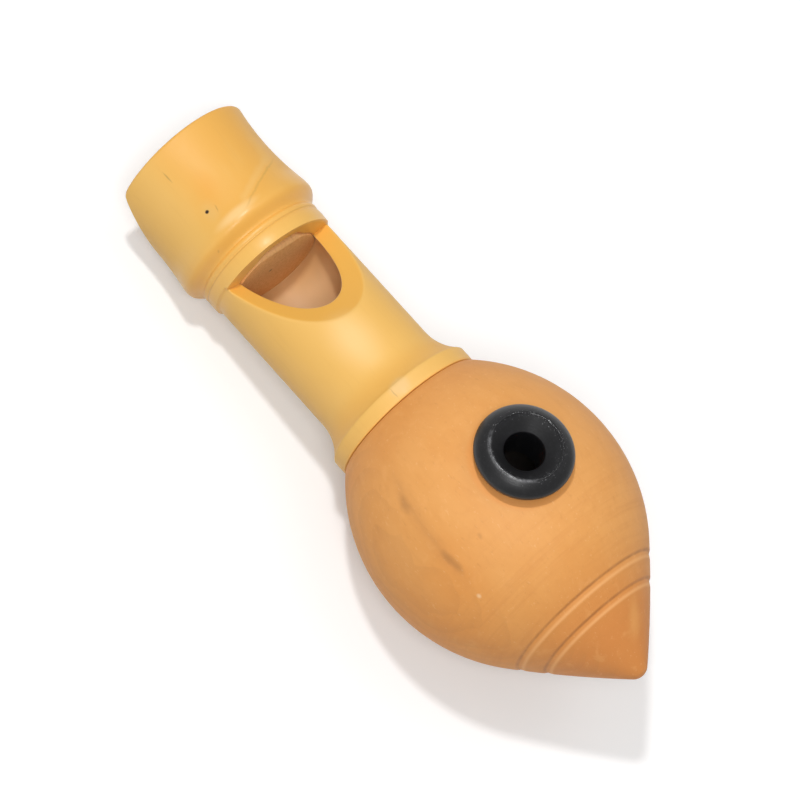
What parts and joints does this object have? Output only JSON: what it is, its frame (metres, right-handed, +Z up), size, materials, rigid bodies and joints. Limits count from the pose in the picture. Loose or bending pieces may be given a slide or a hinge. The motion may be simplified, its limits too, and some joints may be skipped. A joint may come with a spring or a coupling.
{
  "type": "cuckoo whistle",
  "caption": "Turned wooden whistle with a beaked mouthpiece and sound window, joined to a hollow pear-shaped bulb with a bushed finger hole for the cuckoo's second note.",
  "frame": {"origin": "middle of the footprint of the bounding box, on the ground the whistle lies on", "axes": "+X from the mouth end to the tip, +Z up with the window and the finger hole on top, +Y to the left of someone who looks along +X; the whistle's axis lies in the XZ plane and rises 8.6 degrees towards the tip"},
  "size_m": [0.093, 0.0358, 0.0394],
  "materials": {
    "boxwood": "satin oiled pale yellow wood",
    "block_wood": "plain planed wood, in shade",
    "fruitwood": "satin oiled orange-brown wood",
    "black_plastic": "turned and polished, glossy"
  },
  "bodies": {
    "root": {"whistle_pipe": "boxwood", "fipple_block": "block_wood", "resonator_bulb": "fruitwood", "finger_hole_bush": "black_plastic"}
  },
  "joints": []
}
